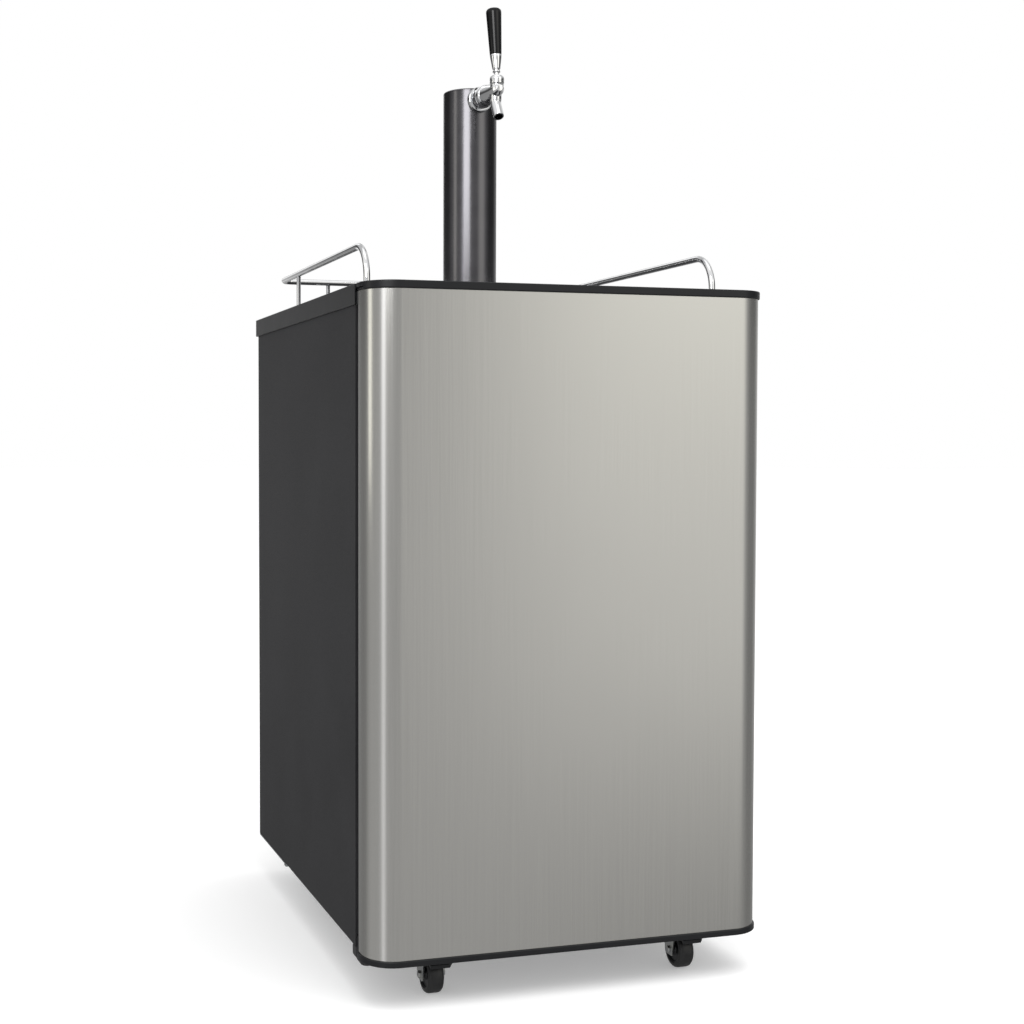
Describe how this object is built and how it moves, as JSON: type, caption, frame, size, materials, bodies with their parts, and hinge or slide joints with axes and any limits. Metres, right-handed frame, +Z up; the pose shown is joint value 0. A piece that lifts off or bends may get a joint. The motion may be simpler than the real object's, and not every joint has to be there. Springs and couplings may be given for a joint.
{
  "type": "kegerator",
  "caption": "Beer refrigerator on casters with a steel door, a black draft tower with a chrome faucet, a drip tray and a chrome guard rail on its top.",
  "frame": {"origin": "on the floor, under the centre of the box around the whole object", "axes": "+Z up; +Y from the door to the back; +X to the right of a person who faces the door"},
  "size_m": [0.523, 0.64, 1.2637],
  "materials": {
    "door_steel": "brushed stainless steel, satin",
    "charcoal_paint": "fine textured dark grey powder coat",
    "black_steel": "black paint, satin",
    "galvanised": "zinc coated sheet",
    "zinc": "zinc plated steel",
    "chrome": "polished chrome",
    "black_plastic": "moulded black plastic, fine grain",
    "gloss_black": "glossy black lacquer",
    "handle_black": "glossy black plastic",
    "white_liner": "white moulded plastic, satin",
    "foam": "rigid insulating foam",
    "tyre_rubber": "dark rubber",
    "grey_rubber": "soft grey vinyl",
    "black_rubber": "black rubber",
    "knob_grey": "moulded grey plastic",
    "aluminium": "plain rolled aluminium",
    "copper": "bright copper"
  },
  "bodies": {
    "cabinet": {"cabinet_shell": "charcoal_paint", "back_panel": "black_steel", "bottom_panel": "charcoal_paint", "machine_base": "galvanised", "inner_liner": "white_liner", "insulation": "foam", "keg_floor_plate": "galvanised", "evaporator_plate": "aluminium", "thermostat_housing": "white_liner", "worktop": "black_plastic", "guard_rail": "chrome", "rail_post_left": "chrome", "rail_post_right": "chrome", "rail_post_rear_left": "chrome", "rail_post_rear_right": "chrome", "tower_flange": "gloss_black", "tower_column": "gloss_black", "tower_cap": "gloss_black", "shank": "chrome", "shank_collar": "chrome", "shank_nut": "zinc", "coupling_nut": "chrome", "faucet_body": "chrome", "faucet_bonnet": "chrome", "top_hinge": "black_steel", "bottom_hinge": "black_steel", "compressor": "black_steel", "relay_cover": "black_plastic", "condensate_pan": "black_plastic", "filter_drier": "copper", "condenser_coil": "black_steel", "cord_gland": "black_rubber", "front_left_caster_mount": "zinc", "front_right_caster_mount": "zinc", "rear_left_caster_mount": "zinc", "rear_right_caster_mount": "zinc"},
    "door": {"door_skin": "door_steel", "door_core": "foam", "door_liner": "white_liner", "door_top_cap": "black_plastic", "door_bottom_cap": "black_plastic", "door_gasket": "grey_rubber", "handle_pocket": "black_plastic"},
    "tap_lever": {"faucet_lever": "chrome", "handle_ferrule": "chrome", "tap_handle": "handle_black"},
    "plunger": {"faucet_plunger": "zinc"},
    "thermostat_dial": {"thermostat_knob": "knob_grey"},
    "tray": {"drip_tray": "black_plastic"},
    "grille": {"drip_grille": "black_plastic"},
    "front_left_swivel": {"front_left_fork": "zinc"},
    "front_left_roller": {"front_left_wheel": "tyre_rubber"},
    "front_right_swivel": {"front_right_fork": "zinc"},
    "front_right_roller": {"front_right_wheel": "tyre_rubber"},
    "rear_left_swivel": {"rear_left_fork": "zinc"},
    "rear_left_roller": {"rear_left_wheel": "tyre_rubber"},
    "rear_right_swivel": {"rear_right_fork": "zinc"},
    "rear_right_roller": {"rear_right_wheel": "tyre_rubber"},
    "front_left_brake": {"front_left_brake_pedal": "black_plastic"},
    "front_right_brake": {"front_right_brake_pedal": "black_plastic"}
  },
  "joints": [
    {"name": "door_hinge", "type": "hinge", "parent": "cabinet", "child": "door", "pos_m": [-0.25, -0.276, 0.45], "axis": [0, 0, -1], "range_deg": [0, 115]},
    {"name": "tap_lever_tilt", "type": "hinge", "parent": "cabinet", "child": "tap_lever", "pos_m": [0, -0.04, 1.1625], "axis": [1, 0, 0], "range_deg": [0, 35]},
    {"name": "plunger_slide", "type": "slide", "parent": "cabinet", "child": "plunger", "axis": [0, 1, 0], "range_m": [0, 0.0065]},
    {"name": "thermostat_turn", "type": "hinge", "parent": "cabinet", "child": "thermostat_dial", "pos_m": [0.155, -0.17, 0.762], "axis": [-1, 0, 0], "range_deg": [0, 270]},
    {"name": "drip_tray_lift", "type": "slide", "parent": "cabinet", "child": "tray", "axis": [0, 0, 1], "range_m": [0, 0.05]},
    {"name": "drip_grille_lift", "type": "slide", "parent": "tray", "child": "grille", "axis": [0, 0, 1], "range_m": [0, 0.04]},
    {"name": "front_left_swivel_turn", "type": "hinge", "parent": "cabinet", "child": "front_left_swivel", "pos_m": [-0.167, -0.24, 0.05], "axis": [0, 0, 1], "continuous": true},
    {"name": "front_left_wheel_roll", "type": "hinge", "parent": "front_left_swivel", "child": "front_left_roller", "pos_m": [-0.167, -0.267, 0.0235], "axis": [1, 0, 0], "continuous": true},
    {"name": "front_left_brake_press", "type": "hinge", "parent": "front_left_swivel", "child": "front_left_brake", "pos_m": [-0.167, -0.285, 0.0469], "axis": [1, 0, 0], "range_deg": [0, 12]},
    {"name": "front_right_swivel_turn", "type": "hinge", "parent": "cabinet", "child": "front_right_swivel", "pos_m": [0.167, -0.24, 0.05], "axis": [0, 0, 1], "continuous": true},
    {"name": "front_right_wheel_roll", "type": "hinge", "parent": "front_right_swivel", "child": "front_right_roller", "pos_m": [0.167, -0.267, 0.0235], "axis": [1, 0, 0], "continuous": true},
    {"name": "front_right_brake_press", "type": "hinge", "parent": "front_right_swivel", "child": "front_right_brake", "pos_m": [0.167, -0.285, 0.0469], "axis": [1, 0, 0], "range_deg": [0, 12]},
    {"name": "rear_left_swivel_turn", "type": "hinge", "parent": "cabinet", "child": "rear_left_swivel", "pos_m": [-0.167, 0.255, 0.05], "axis": [0, 0, 1], "continuous": true},
    {"name": "rear_left_wheel_roll", "type": "hinge", "parent": "rear_left_swivel", "child": "rear_left_roller", "pos_m": [-0.167, 0.228, 0.0235], "axis": [1, 0, 0], "continuous": true},
    {"name": "rear_right_swivel_turn", "type": "hinge", "parent": "cabinet", "child": "rear_right_swivel", "pos_m": [0.167, 0.255, 0.05], "axis": [0, 0, 1], "continuous": true},
    {"name": "rear_right_wheel_roll", "type": "hinge", "parent": "rear_right_swivel", "child": "rear_right_roller", "pos_m": [0.167, 0.228, 0.0235], "axis": [1, 0, 0], "continuous": true}
  ],
  "couplings": [
    {"joint": "plunger_slide", "follows": "tap_lever_tilt", "m_per_rad": 0.0102}
  ]
}
